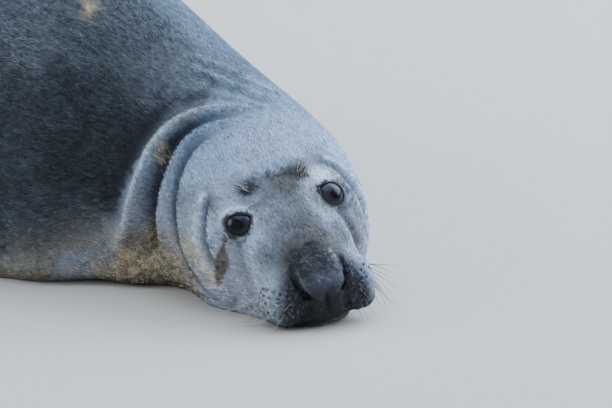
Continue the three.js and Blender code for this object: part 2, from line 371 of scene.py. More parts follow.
# slack hide over the nape, in low waves
WAVE_1 = [(-196, -38, 63), (-176, -14, 57), (-158, 10, 50), (-140, 36, 40)]
DIP_1 = [(-206, -24, 65), (-185, -1, 57), (-166, 22, 48), (-147, 46, 37)]
WAVE_2 = [(-216, -12, 66), (-194, 10, 57), (-172, 34, 46), (-152, 58, 32)]
DIP_2 = [(-226, -6, 67), (-205, 18, 56), (-184, 40, 44), (-163, 64, 28)]
WAVE_3 = [(-236, 0, 68), (-216, 26, 54), (-194, 48, 41), (-172, 70, 25)]
NECK_FOLDS = [
    (CREASE_1, (4.6, 4.8), (-3.0, -12)),
    (ROLL_1, (6.0, 6.5), (2.4, 8)),
    (CREASE_2, (5.6, 7.5), (-3.2, -14)),
    (ROLL_2, (9.0, 10.0), (3.4, 14)),
    (HEAD_EDGE, (6.0, 7.0), (1.5, 3)),
    (BODY_EDGE, (8.0, 13.0), (-1.5, -5)),
    (WAVE_1, (6.5, 6.5), (1.8, 1.8)),
    (WAVE_2, (7.5, 7.5), (2.2, 2.2)),
    (DIP_1, (6.0, 6.0), (-1.6, -1.6)),
    (WAVE_3, (8.0, 8.0), (2.0, 2.0)),
    (DIP_2, (6.5, 6.5), (-1.5, -1.5)),
]

# The same on both sides of the face: line, width, height, and how it fades at its ends. The
# bridge of the nose is a tall ridge, set off from each cheek by a furrow that runs down
# from the inner corner of the eye to the whisker pad.
EYE_FOLD = [(-50, 75, 11), (-38, 86, 1), (-24, 94, -12), (-10, 98, -24), (2, 98, -36), (12, 95, -46)]
EYE_FOLD_EDGE = [(-57, 79, 9), (-45, 91, -3), (-31, 99, -16), (-17, 103, -29), (-5, 104, -42)]
NOSTRIL = [(80, 31, -12), (91, 33.5, -21), (101, 31, -31), (109, 26, -39), (114, 18, -46)]
BOTH_SIDES = [
    ([(-4, 54, -2), (12, 61, -13), (30, 68, -26), (46, 70, -39), (60, 70, -53), (73, 70, -68)], 6.0, -6.0, 0.12),
    ([(2, 41, 5), (18, 49, -7), (36, 53, -17), (54, 54, -28), (68, 55, -42)], 8.0, 3.0, 0.12),
    (EYE_FOLD, 3.0, -5.0, 0.15),
    (EYE_FOLD_EDGE, 5.0, 3.2, 0.2),
    ([(-42, 72, 8), (-28, 82, -4), (-13, 89, -18), (2, 90, -30), (14, 88, -42)], 4.0, 1.5, 0.2),
    ([(42, 73, -50), (50, 80, -66), (52, 84, -80)], 5.0, -2.0, 0.3),
    ([(83, 55, -43), (93, 54, -55), (99, 49, -66)], 15.0, 9.5, 0.0),
    ([(72, 61, -58), (84, 58, -68)], 12.0, 2.5, 0.0),
    ([(107, 29, -38), (114, 25, -50), (116, 24, -62), (112, 27, -73)], 4.5, -4.5, 0.15),
    (NOSTRIL, 2.7, -8.5, 0.1),
    ([(86, 31.5, -17), (95, 32.5, -25)], 4.0, -3.5, 0.0),
    ([(78, 37, -12), (91, 40, -22), (103, 37, -34)], 3.2, 2.0, 0.1),
    ([(88, 17, -14), (103, 15, -26), (112, 11, -38)], 11.0, 3.0, 0.0),
    ([(118, 0, -80), (114, 22, -78), (104, 40, -79), (90, 55, -82), (76, 63, -86)], 2.2, -4.0, 0.1),
    ([(116, 14, -87), (104, 34, -88)], 5.0, 1.2, 0.1),
    ([(-62, 24, 30), (-50, 40, 27), (-30, 52, 22)], 11.0, 1.5, 0.1),
    ([(-95, 88, -38), (-99, 90, -41)], 3.2, -6.0, 0.0),
]
MIDLINE = [
    ([(112, 0, -40), (118, 0, -55), (120, 0, -68), (119, 0, -78)], 2.6, -3.5, 0.05),
    ([(113, 0, -47), (119, 0, -62)], 9.0, -2.5, 0.0),
    ([(62, 0, 0), (84, 0, -7)], 12.0, -1.5, 0.1),
    # the upper side's lip hangs slack
    ([(101, 44, -78), (93, 54, -77)], 8.5, 6.5, 0.0),
]
FACE_START, NECK_START, FOLDS_START = -62, -190, -330  # along the face's x


def fine_parts(middles):
    """The eyes, the front of the muzzle, and the rolls and creases of the neck."""
    p = to_face(middles)
    x, side = p[:, 0], np.abs(p[:, 1])
    eye = np.linalg.norm(np.stack([x + 2, side - 60, p[:, 2]], 1), axis=1) < 28
    nose = (x > 72) & (side < 48) & (p[:, 2] > -86)
    folded = np.zeros(len(p), bool)
    some = np.nonzero((x > NECK_START) & (x < FACE_START) & (p[:, 1] < 60) & (middles[:, 2] > LAID))[0]
    for line, _, _ in NECK_FOLDS[:6]:
        folded[some] |= from_line(p[some], line)[0] < 13
    return eye | nose | folded


split(lambda middles: (to_face(middles)[:, 0] > FACE_START) & (middles[:, 2] > LAID))
split(fine_parts)
smooth(0.8 * (to_face(points_of(skin))[:, 0] > NECK_START), 3)

points, normals = points_and_normals(skin)
face = to_face(points)
front = np.nonzero(face[:, 0] > FOLDS_START)[0]
p = face[front]
n = normals[front] @ turn
lift = np.zeros(len(p))
for line, (thin, wide), (upper, lower) in NECK_FOLDS:
    distance, along = from_line(p, line)
    reach = thin + (wide - thin) * ramp(along, 0.15, 0.8)
    height = upper + (lower - upper) * ramp(along, 0.14, 0.6)
    lift += height * bell(distance, reach) * ramp(along, -0.02, 0.26)
for lines, sides in ((BOTH_SIDES, (1, -1)), (MIDLINE, (1,))):
    for line, reach, height, fade in lines:
        for side in sides:
            some = np.nonzero(p[:, 1] * side > -12)[0]
            distance, along = from_line(p[some] * (1, side, 1), line)
            ends = ramp(along, -0.01, fade) * fall(along, 1 - fade, 1.01)
            lift[some] += height * bell(distance, reach) * (ends if fade else 1)

# The chin is drawn back under the upper lip.
chin = ramp(-p[:, 2], 80, 90) * ramp(p[:, 0], 78, 112)
face[front] = p + n * lift[:, None] - np.array([7.0, 0, 0]) * chin[:, None]
points[front] = from_face(face[front])
put_points(skin, points)
smooth(0.5 * ((face[:, 0] > NECK_START) & (face[:, 0] < -60)), 1)

# Round each eye the hide rides over the eyeball and ends in a thick lid. The opening is a
# rounded triangle, drawn out to a corner up by the nose. The right eye is half closed on its
# lower side.
EYEBALL = 21.0
BALL = np.array([-9.0, 55.0, -9.0])


def eye_axes(look):
    """Which way the middle of the opening faces, across it outward, and up over it."""
    look, across = unit(np.array(look)), np.array((-0.65, 0.72, 0.22))
    across = unit(across - look * (across @ look))
    return look, across, np.cross(look, across)


EYE_AXES = {-1: eye_axes((0.66, 0.30, 0.69)), 1: eye_axes((0.541, 0.315, 0.780))}
# half the opening's width, how far its inner corner draws it out and at which angle, and
# how far the upper lid hangs
OPENINGS = {-1: (13.8, 4.6, 128, 1.8), 1: (16.8, 2.6, 98, 1.2)}


def opening(angle, eye):
    """How far the lids' edge is from the middle of the eye, in millimetres along the ball."""
    half, drawn, corner, hung = OPENINGS[eye]

    def near(at, reach):
        return bell((angle - at + math.pi) % (2 * math.pi) - math.pi, reach)

    drawn = drawn * near(math.radians(corner), 0.34) + 1.6 * near(math.radians(-8), 0.5)
    return half + drawn - hung * near(1.1, 0.65)


def eye_place(face_points):
    """For points near the nearer eye: how far out from the ball's middle they are, how far
    from the middle of the opening, with the lids' edge at 1, and at which angle."""
    away = face_points * mirror_of(face_points) - BALL
    radius = np.linalg.norm(away, axis=1)
    away /= np.maximum(radius, 1e-6)[:, None]
    rim, angle = np.empty(len(away)), np.empty(len(away))
    for eye, (look, across, up) in EYE_AXES.items():
        here = face_points[:, 1] * eye >= 0
        angle[here] = np.arctan2(away[here] @ up, away[here] @ across)
        rim[here] = EYEBALL * np.arccos(np.clip(away[here] @ look, -1, 1)) / opening(angle[here], eye)
    return radius, rim, angle


face = to_face(points_of(skin))
radius, rim, angle = eye_place(face)
near = (radius < 50) & (rim < 2.6)
outer = EYEBALL + 1.6 + np.log1p(np.exp(np.clip((radius - EYEBALL - 1.6) / 1.2, -20, 20))) * 1.2
blend = ramp(rim, 1.05, 1.9)
lid = (EYEBALL + 1.9) * (1 - blend) + outer * blend
# a soft fold over the upper lid, and a bag under the lower
upper = ramp(np.sin(angle - 0.3), -0.1, 0.5)
lid += bell(rim - 1.28, 0.12) - (0.5 + 1.1 * upper) * bell(rim - 1.52, 0.10) + 0.8 * bell(rim - 1.75, 0.12)
open_share = ramp(rim, 0.90, 1.0)
lid = (EYEBALL - 3.5) * (1 - open_share) + lid * open_share
fade = fall(rim, 1.9, 2.5) * fall(radius, 32, 48)
target = radius * (1 - fade) + lid * fade
factor = np.where(near, target / np.maximum(radius, 1e-6), 1.0)
middle = BALL * mirror_of(face)
put_points(skin, from_face(middle + (face - middle) * factor[:, None]))


def lattice(points, size, seed):
    """Smooth noise from 0 to 1, with blotches of this size in metres."""
    q = points / size + seed * 17.3
    cell = np.floor(q).astype(np.int64)
    t = ramp(q - cell, 0, 1)
    total = np.zeros(len(q))
    for corner in range(8):
        offset = np.array([corner & 1, corner >> 1 & 1, corner >> 2 & 1])
        a, b, c = (cell + offset).T
        key = (a * 73856093) ^ (b * 19349663) ^ (c * 83492791) ^ (seed * 2654435761)
        key = (key ^ (key >> 13)) * 1274126177 & 0x7FFFFFFF
        key = (key ^ (key >> 16)) & 0xFFFF
        total += np.prod(np.where(offset, t, 1 - t), axis=1) * key / 0xFFFF
    return total


def mottle(points, size, seed):
    octaves = ((0.6, 1), (0.28, 2.1), (0.12, 4.3))
    return sum(part * lattice(points, size / finer, seed + i) for i, (part, finer) in enumerate(octaves))


# The sole, where throat and belly lie flat on the ground, needs few faces.
heights = points_of(skin)[:, 2].tolist()
flat = [max(heights[i] for i in polygon.vertices) < 0.0016 for polygon in skin.data.polygons]
edit(skin, bpy.ops.mesh.decimate, flat, ratio=0.2)

# The nose leather is lumpy.
points, normals = points_and_normals(skin)
face = to_face(points)
leather = ramp(face[:, 0], 80, 96) * fall(np.abs(face[:, 1]), 28, 36) * ramp(face[:, 2], -80, -66)
lumps = 1.3 * (mottle(points, 0.0085, 71) - 0.5) + 0.8 * (mottle(points, 0.0035, 73) - 0.5)
points += normals * (leather * lumps * 0.0022)[:, None]
points[:, 2] = np.maximum(points[:, 2], 0.0005)
put_points(skin, points)
put_values(skin.data, "bare", leather)

# Whisker follicles stand in rows on each pad.
ROWS, IN_ROW = 6, 7
skin_tree = tree_of(skin)


def on_skin(place):
    return np.array(skin_tree.find_nearest(Vector(from_face(place)))[0])


follicles = []
for side in (1, -1):
    for row in range(ROWS):
        for k in range(IN_ROW):
            out = 40 + 5.0 * k + 2.0 * (row % 2)
            follicles.append(to_face(on_skin([105 - 5.6 * k - 1.1 * row, out * side, -40 - 7.0 * row + 0.6 * k])))
follicles = np.array(follicles)

only(skin)
bpy.ops.object.shade_smooth()
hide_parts(*FLESH)
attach(skin, "root")


# ---- what colours the hide and the coat: the same marks are worked out for both
def to_linear(code):
    values = np.array([int(code[i : i + 2], 16) / 255 for i in (1, 3, 5)])
    return np.where(values <= 0.04045, values / 12.92, ((values + 0.055) / 1.055) ** 2.4)


BACK = to_linear("#414950")
BACK_DARK = to_linear("#292d32")
DUSK = to_linear("#191d23")
BACK_LIGHT = to_linear("#68707b")
NECK = to_linear("#8095ac")
CROWN = to_linear("#a3b6ce")
CHEEK = to_linear("#8b8e98")
WHITE = to_linear("#c8d5e5")
FROST = to_linear("#e4ecf5")
CREAM = to_linear("#c0b498")
BELLY = to_linear("#8f918f")
SAND = to_linear("#ad9263")
TAN = to_linear("#c4b189")
UMBER = to_linear("#675c48")
FOREHEAD = to_linear("#575654")
MUZZLE = to_linear("#4c4745")
BLACK = to_linear("#17181d")
LEATHER_HIGHLIGHT = to_linear("#4e5262")
BROWN = to_linear("#574a39")


def over(colour, paint, share):
    return colour * (1 - share[:, None]) + paint * share[:, None]


def spot(points, middle, size):
    """1 at the middle of a soft oval and 0 well outside it."""
    return bell(np.linalg.norm((points - middle) / size, axis=1), 1.0)


def sunken(line, depth):
    """The same line at the bottom of its crease: drawn in toward the spine, in millimetres."""
    places = np.array(line, float)
    inward = unit(to_face(spine[nearest(from_face(places), spine)[0]]) - places)
    return places + inward * (depth * np.linspace(0.4, 1, len(places)))[:, None]


def sanded(points):
    """How thick wet sand lies in the coat: low on the neck, on the inside of the turn."""
    behind, _, angle = on_spine(points)
    face = to_face(points)
    wavy = 0.03 * (mottle(points, 0.034, 5) - 0.5)
    share = fall(points[:, 2] + wavy, 0.035, 0.098) * bell(behind - 0.22, 0.105)
    return share * ramp(-face[:, 1], 30, 90) * ramp(-face[:, 0], 0, 24) * ramp(np.cos(angle), -0.3, 0.3)


def marks(points):
    """The coat's colour at each point, linear."""
    behind, _, angle = on_spine(points)
    p = to_face(points)
    m = p * mirror_of(p)
    x, y, z = p.T
    side = np.abs(y)
    height = points[:, 2]
    big, middle, small = mottle(points, 0.12, 1), mottle(points, 0.034, 5), mottle(points, 0.009, 9)
    tiny = lattice(points, 0.0032, 21)
    # the same round 0, to fray the edges of the marks
    broad, blot, rough, grain = big - 0.5, middle - 0.5, small - 0.5, tiny - 0.5
    colour = np.repeat(BACK[None], len(points), 0)

    def lay(paint, share):
        colour[:] = over(colour, paint, share)

    # The trunk is dark steel with a paler net and some brown-black spots. The flank pales to
    # a buff belly, and the pale part climbs at the root of the neck.
    lay(BACK_LIGHT, ramp(big, 0.40, 0.72) * 0.5)
    lay(BACK_LIGHT, ramp(middle, 0.52, 0.8) * 0.35)
    lay(BACK_DARK, ramp(0.5 * big + 0.5 * mottle(points, 0.05, 31), 0.55, 0.66) * 0.6)
    flank = fall(np.abs(angle + 0.05) + 0.3 * broad, 0.40, 0.95) * ramp(behind, 0.26, 0.36)
    lay(DUSK, flank * fall(behind, 0.85, 1.2) * 0.62)
    # a paler saddle over the left shoulder: partly the coat's silver, partly a painted sheen where light grazes the
    # top of the back
    pale_shoulder_and_sheen = ramp(angle + 0.5 * broad, 1.50, 2.0) * fall(angle, 2.4, 3.0) * bell(behind - 0.38, 0.25)
    lay(NECK, pale_shoulder_and_sheen * (0.55 + 0.5 * blot))
    climb = 0.046 * ramp(points[:, 0], 0.50, 0.64) + 0.014 * blot + 0.012 * rough
    lay(BELLY, fall(height - climb, 0.008, 0.046) * (0.80 + 0.3 * blot))
    lay(UMBER, fall(height, 0.0, 0.035) * ramp(behind, 0.32, 0.42) * 0.6)

    # The pale neck starts sharply at the outer roll, and fades in over the left shoulder.
    reach_back = 150 + 40 * ramp(y, -50, 15) + 40 * ramp(y, 30, 120)
    fray = 16 * rough + (70 * blot + 60 * broad) * ramp(y, -40, 60)
    softness = 5 + 70 * ramp(y, -30, 80)
    pale = ramp(x + reach_back + fray, -softness, softness * 0.7) * (behind < 0.75)
    lay(NECK, pale)
    lay(CROWN, pale * ramp(x + 0.5 * z + 20 * blot, -150, -80) * (0.75 + 0.25 * middle))
    lay(CHEEK, pale * ramp(-z - 0.3 * y, 8, 60) * ramp(x, -200, -90) * 0.75)
    right = ramp(np.cos(angle), -0.3, 0.3)
    under = ramp(height, 0.025, 0.050) * fall(height + 0.02 * blot, 0.060, 0.110)
    lay(CHEEK, under * bell(behind - 0.32, 0.080) * right * (0.45 + 0.4 * middle))

    # On the inside of the turn each roll gets a painted highlight on its crest and painted shade
    # in its crease; the body's edge gets painted shade and the head's edge a painted highlight.
    folded = np.nonzero((x > -210) & (x < 30) & (y < 60))[0]
    for line, paint, reach, share, start in (
        (BODY_EDGE, DUSK, 13, 0.7, 0.25),
        (sunken(CREASE_2, 10), DUSK, 12, 1.0, 0.05),
        (sunken(CREASE_1, 8), DUSK, 7, 1.0, 0.05),
        (sunken(ROLL_1, -7), NECK, 4.5, 0.6, 0.05),
        (sunken(ROLL_2, -12) + (-4, 0, 0), FROST, 6.5, 0.75, 0.05),
        (HEAD_EDGE, WHITE, 4, 0.25, 0.05),
    ):
        gap, along = from_line(p[folded], line)
        drawn = np.zeros(len(points))
        drawn[folded] = bell(gap + 3 * rough[folded], reach) * share * ramp(along, start, 0.6)
        lay(paint, drawn * ramp(-y, -30, 36))
    lay(FOREHEAD, spot(p, (-68, -97, 0), (18, 14, 26)) * 0.5)
    # a tuft of wet, sandy hair on the outer roll
    crest = spot(p, (-136, -95, 19), (11, 11, 17))
    strands = ramp(lattice(points * (1, 1, 2.2), 0.0042, 45) + 0.3 * tiny, 0.60, 0.74)
    lay(BROWN, crest * 0.5)
    lay(CREAM, np.minimum(1.3 * crest, 1) * strands)
    lay(BLACK, spot(p, (-163, 52, 37), (7, 9, 4)) * ramp(tiny + 0.5 * small, 0.5, 0.8) * 0.8)
    # waves of slack hide over the nape: a paler streaky patch, with a painted highlight on the
    # waves' crests and painted shade in their dips
    nape_share = spot(p, (-205, -25, 62), (55, 48, 40)) * (behind < 0.6) * (x < -150)
    lay(BACK_LIGHT, nape_share * ramp(small + middle, 0.6, 1.2))
    for line, paint, share in (
        (WAVE_1, NECK, 0.55),
        (WAVE_2, CROWN, 0.55),
        (WAVE_3, CROWN, 0.5),
        (DIP_1, BACK, 0.5),
        (DIP_2, BACK, 0.45),
        ([(-186, -26, 60), (-167, -2, 53), (-149, 23, 45), (-131, 52, 33)], BACK_LIGHT, 0.5),
    ):
        gap, along = from_line(p, line)
        lay(paint, bell(gap + 7 * rough, 4.5) * share * ramp(middle, 0.25, 0.6) * fall(along, 0.8, 1))
    lay(BACK_LIGHT, spot(p, (-155, 32, 44), (13, 10, 10)) * 0.45)
    # wet tan fur down the edge of the cheek
    jowl, _ = from_line(p, [(-24, -111, -34), (-8, -107, -42), (4, -103, -52), (13, -99, -60)])
    lay(CREAM, bell(jowl, 11) * 0.85)
    lay(TAN, spot(p, (-307, -105, 123), (22, 12, 12)) * ramp(small + 0.3 * middle, 0.5, 0.75) * 0.9)

    # The forehead and the bridge of the nose are greyer than the crown, with a ragged dark
    # edge between the brows.
    mask = ramp(x + 0.25 * side + 8 * rough, -50, -34) * ramp(z, -34, -8)
    mask *= fall(side + 12 * rough + 0.2 * x, 34, 50)
    mask *= (0.88 - 0.18 * ramp(side, 14, 34)) * (1 - 0.22 * ramp(x, -18, 4) * fall(x, 16, 34))
    mask *= 0.82 + 0.3 * ramp(y, -26, 16)
    lay(FOREHEAD, mask * (1 + 0.4 * rough))
    band, _ = from_line(p, [(-29, -33, 22), (-40, -17, 27), (-43, 0, 28), (-41, 17, 27), (-35, 33, 23)])
    lay(BLACK, bell(band, 10) * ramp(0.6 * small + 0.6 * tiny, 0.42, 0.72) * 0.85)
    lay(BACK, spot(p, (-48, 70, 11), (18, 20, 15)) * 0.9)
    lay(FOREHEAD, spot(p, (-55, -78, 10), (16, 14, 14)) * 0.45)
    lay(FOREHEAD, spot(p, (-36, -76, 5), (15, 10, 12)) * 0.75)
    lay(WHITE, spot(p, (-20, -85, -7), (8, 7, 9)) * 0.4)
    lay(CREAM, spot(m, (2, 38, 3), (14, 6, 12)) * 0.25)

    # A white ring round each eye, broadest over the outer half of the upper lid: pale fur with a
    # painted highlight where the light catches the upper lid. Dark bare skin on the lids' edges.
    radius, rim, eye_angle = eye_place(p)
    close = fall(radius, 33, 46)
    over_eye = np.exp((np.cos(eye_angle - 0.72) - 1) / 0.36)
    ring = bell(rim - 1.45 - np.where(y < 0, 0.5, 0.25) * over_eye, 0.24 + 0.18 * over_eye) * over_eye
    ring += bell(rim - 1.35, 0.2) * np.exp((np.cos(eye_angle - 3.1) - 1) / 0.2) * 0.35
    lay(FROST, ring * close * (1.0 + 0.5 * rough))
    below = np.exp((np.cos(eye_angle + np.where(y < 0, 1.4, 0.6)) - 1) / 0.25)
    lay(FOREHEAD, bell(rim - 1.5, 0.35) * below * close * np.where(y < 0, 0.3, 0.75))
    lashes = np.where(y < 0, 0.14, 0.48) * ramp(np.cos(eye_angle + 0.9), 0.0, 0.9)
    lay(BLACK, fall(rim - lashes + 0.4 * grain, 1.08, 1.28) * close)

    # cheeks: a streaky grey, darkest on the far cheek, partly the coat's tone and partly painted
    # shade where that cheek is out of the light; behind each eye a dark line of painted shadow in
    # the fold's crease, with a painted highlight on its raised edge
    lay(CHEEK, spot(m, (8, 84, -40), (50, 30, 45)) * 0.30)
    lay(FOREHEAD, spot(m, (53, 43, -16), (24, 17, 15)) * 0.85)
    lay(CHEEK, spot(p, (38, 74, -30), (34, 26, 34)))
    lay(FOREHEAD, spot(p, (40, 76, -36), (26, 18, 26)) * 0.65)
    # painted highlight along the fold's raised edge
    gap, _ = from_line(m, EYE_FOLD_EDGE)
    lay(WHITE, bell(gap, 4.5) * 0.9 * ramp(side, 30, 60))
    # painted shadow at the bottom of the fold's crease, weaker on the far side
    gap, along = from_line(m, sunken(EYE_FOLD, 4.5) + (0.6, -0.9, 0))
    painted_fold_shadow = bell(gap + 1.5 * grain, 3.3) * ramp(along, -0.1, 0.15) * ramp(side, 30, 60)
    lay(BLACK, painted_fold_shadow * np.where(y < 0, 1, 0.55))
    # painted highlight along the ridge between the bridge of the nose and the cheek
    gap, _ = from_line(m, [(10, 44, -1), (24, 55, -14), (42, 62, -30), (62, 62, -48)])
    lay(WHITE, bell(gap, 5.0) * 0.35 * ramp(side, 20, 40))

    # the wet streak below the outer corner of each eye
    streak, along = from_line(m, [(0, 74, -9), (9, 84, -24), (16, 90, -38), (18, 94, -60)])
    wide = 2.2 + 6.5 * bell(along - 0.62, 0.32)
    wet = fall(streak + 4.5 * rough + 4.5 * grain, wide * 0.7, wide * 1.3)
    wet *= np.where(y < 0, 0.85, 0.25) * ramp(side, 30, 60)
    lay(BROWN, wet)
    lay(BLACK, wet * ramp(tiny + 0.7 * small, 0.80, 1.05) * 0.95)

    # The muzzle darkens toward the nose, which is bare leather between the nostrils.
    lay(MUZZLE, ramp(x + 12 * rough, 24, 62) * fall(side - 0.35 * (x - 40), 20, 42) * 0.92)
    top = ramp(x + 16 * rough + 10 * grain, 50, 74) * ramp(z, -90, -70)
    top *= fall(side + 12 * grain + 8 * rough, 26, 40)
    lay(BLACK, top * np.minimum(1.05 + 0.9 * grain, 1.1))
    lay(CHEEK, top * ramp(lattice(points, 0.0022, 47) + 0.4 * small, 0.86, 1.02) * 0.18)
    # paler nose leather between the nostrils: partly its own grey, partly a painted highlight on the wet pad
    lay(LEATHER_HIGHLIGHT, spot(p, (104, 1, -26), (13, 29, 14)) * (0.95 + 1.2 * rough + grain))
    lay(WHITE, spot(p, (84, 22, -12), (9, 9, 7)) * ramp(tiny + small, 1.0, 1.25) * 0.6)
    lay(BLACK, spot(p, (118, 3, -57), (18, 22, 17)))
    gap, _ = from_line(m, [(86, 27, -14), (96, 27.5, -22), (104, 24, -32), (110, 18, -41)])
    lay(CHEEK, bell(gap + 2 * grain, 2.4) * 0.45)
    gap, _ = from_line(m, sunken(NOSTRIL, 5))
    lay(BLACK, fall(gap, 3.5, 6.5) * ramp(side, 8, 14))

    # the bridge's dusky patches, and one below the upper eye
    lay(FOREHEAD, spot(p, (41, 14, 0), (12, 9, 9)) * 0.5)
    lay(FOREHEAD, spot(p, (64, 34, -14), (13, 15, 9)) * 0.8)
    lay(FOREHEAD, spot(p, (30, 64, -20), (13, 10, 14)) * 0.45)

    # Whisker pads: rows of dark follicles on a pale ground, which darkens to the nose and lip.
    lay(WHITE, spot(m, (84, 60, -54), (20, 17, 19)) * (0.60 + 0.5 * grain))
    # dark lips, peppered with pale follicles, and a thin pale lower lip
    grit = 0.9 * lattice(points, 0.0020, 33) + 0.6 * lattice(points, 0.0038, 35)
    peppered = spot(m, (92, 52, -60), (26, 22, 24)) * ramp(grit, 0.60, 0.80)
    lay(BLACK, peppered * (0.84 - 0.5 * ramp(y, 38, 52)))
    lay(BLACK, spot(m, (97, 37, -31), (13, 9, 14)) * 0.97)
    from_nose = fall(np.linalg.norm(m - (100, 34, -58), axis=1), 16, 34)
    lay(BLACK, from_nose * ramp(x - 0.35 * (side - 44) + 9 * rough + 5 * grain, 92, 108) * 0.85)
    lay(BLACK, bell(z + 80 - 0.1 * (side - 20), 8) * ramp(x, 66, 92) * 0.8)
    pale_specks = spot(m, (94, 48, -54), (22, 24, 26)) * ramp(grit, 0.80, 1.0)
    lay(NECK, pale_specks * (0.5 + 0.4 * ramp(y, 30, 45)))
    lower_lip, _ = from_line(m, [(112, 0, -85), (108, 20, -85), (98, 38, -88), (84, 52, -90)])
    lay(CREAM, bell(lower_lip, 3.0) * 0.8)
    padded = np.nonzero((x > 55) & (side > 25))[0]
    for place in follicles:
        near = padded[np.abs(p[padded] - place).max(1) < 6]
        gap = np.linalg.norm(p[near] - place, axis=1)
        colour[near] = over(colour[near], BLACK, fall(gap + 1.2 * grain[near], 1.3, 2.7) * 0.9)

    # the patches that the brow whiskers grow from
    brow = np.sqrt((x + 32) ** 2 + ((side - 33.5) / np.where(y > 0, 1.5, 1.1)) ** 2 + (z - 23) ** 2)
    lay(BLACK, fall(brow + 10 * grain + 6 * rough, 7, 13) * 0.9)
    lay(BROWN, fall(brow + 7 * grain, 1, 6) * 0.5)
    # the ear's opening
    lay(BLACK, spot(m, (-101, 90, -42), (5, 5, 6)) * 0.8)

    # sandy dust caught low in the coat, thickest at the root of the neck
    root = bell(behind - 0.27, 0.080) * (0.15 + 0.85 * right)
    dust = fall(height, 0.012, 0.080) * (0.14 + 0.80 * root)
    lay(SAND, dust * ramp(small + 0.7 * tiny, 0.70, 1.05) * ramp(behind, 0.15, 0.24))
    sand = np.minimum(1.25 * sanded(points), 1)
    lay(UMBER, sand * 0.85)
    lay(TAN, sand * ramp(lattice(points, 0.0045, 43) + 0.3 * small, 0.62, 0.85) * 0.6)
    # painted shadow where the root of the neck meets the ground
    lay(BLACK, fall(height, 0.002, 0.022) * bell(behind - 0.27, 0.100) * right * 0.75)
    # dark, webbed toes
    above_toes = ramp(np.abs(points[:, 0] + 0.1), 0.0, 0.2) * (points[:, 0] > -0.4)
    lay(BACK_DARK, near_flipper(points, 0.012) * (1 - above_toes) * (0.55 + 0.5 * rough))
    return np.clip(colour, 0.004, 1)


def paint(mesh, colours):
    layer = mesh.color_attributes.new("coat", "FLOAT_COLOR", "POINT")
    layer.data.foreach_set("color", np.insert(colours, 3, 1, axis=1).astype(np.float32).ravel())


paint(skin.data, marks(points_of(skin)))


def feed(node, inputs):
    """Gives each input its value, or links it to the socket that feeds it."""
    for key, value in inputs.items():
        if isinstance(value, bpy.types.NodeSocket):
            node.id_data.links.new(value, node.inputs[key])
        else:
            node.inputs[key].default_value = value


def add(tree, kind, inputs={}, stops=(), **settings):
    """Adds one node with its settings, inputs and colour stops, and returns its outputs."""
    node = tree.nodes.new("ShaderNode" + kind)
    for key, value in settings.items():
        setattr(node, key, value)
    feed(node, inputs)
    for i, (position, code) in enumerate(stops):
        elements = node.color_ramp.elements
        stop = elements[i] if i < 2 else elements.new(position)
        stop.position, stop.color = position, (*to_linear(code), 1)
    return node.outputs


def new_material(name):
    """A material, its node tree and its surface, which is fed last."""
    material = bpy.data.materials.new(name)
    material.use_nodes = True
    tree = material.node_tree
    tree.nodes.clear()
    body = tree.nodes.new("ShaderNodeBsdfPrincipled")
    add(tree, "OutputMaterial", {"Surface": body.outputs["BSDF"]})
    return material, tree, body


def grained(name, scale, detail, stops, strength, depth, roughness, ior):
    """A material whose colour and relief come from one fine noise."""
    material, tree, body = new_material(name)
    place = add(tree, "TexCoord")["Object"]
    noise = add(tree, "TexNoise", {"Scale": scale, "Detail": detail, "Vector": place})["Fac"]
    shade = add(tree, "ValToRGB", {"Fac": noise}, stops)["Color"]
    bump = add(tree, "Bump", {"Strength": strength, "Distance": depth, "Height": noise})["Normal"]
    feed(body, {"Base Color": shade, "Normal": bump, "Roughness": roughness, "IOR": ior})
    return material


# Damp skin and underfur: dull, with a pile of 1.4 mm, about three times as coarse as the real
# one so that it shows. The bare nose leather has pebbles of 1.6 mm and is a little glossier.
hide, tree, body = new_material("damp_underfur")
coat_colour = add(tree, "Attribute", attribute_name="coat")["Color"]
leathery = add(tree, "Attribute", attribute_name="bare")["Fac"]
place = add(tree, "TexCoord")["Object"]
pile = add(tree, "TexNoise", {"Scale": 700.0, "Detail": 3.0, "Roughness": 0.6, "Vector": place})["Fac"]
pile_tones = {"Value": pile, "From Min": 0.3, "From Max": 0.7, "To Min": 0.72, "To Max": 1.15}
tone = add(tree, "MapRange", pile_tones)["Result"]
toned = add(tree, "VectorMath", {0: coat_colour, 1: tone}, operation="MULTIPLY")["Vector"]
pebbles = add(tree, "TexVoronoi", {"Scale": 620.0, "Vector": place})["Distance"]
pebbled = add(tree, "Math", {0: leathery, 1: pebbles}, operation="MULTIPLY")["Value"]
relief = add(tree, "Math", {0: pile, 1: pebbled}, operation="ADD")["Value"]
bump = add(tree, "Bump", {"Strength": 0.6, "Distance": 0.0006, "Height": relief})["Normal"]
gloss = add(tree, "MapRange", {"Value": leathery, "To Min": 0.55, "To Max": 0.42})["Result"]
feed(body, {"Base Color": toned, "Normal": bump, "Roughness": gloss, "IOR": 1.33})
skin.data.materials.append(hide)


# ---------------------------------------------------------------- eyes
# Large dark eyes: a ball with a bulging cornea over a near-black brown iris, wet and glossy.
# Each is turned to look forward and out, and fills the opening between the lids.
BALL_RADIUS = 0.0208
cornea, tree, body = new_material("wet_cornea_over_dark_iris")
iris = add(
    tree, "ValToRGB", {"Fac": add(tree, "Attribute", attribute_name="ring")["Fac"]},
    [(0.34, "#050609"), (0.43, "#1e1e25"), (0.66, "#323443"), (0.80, "#0b0c12")],
)
feed(body, {"Base Color": iris["Color"], "Roughness": 0.24, "IOR": 1.32})

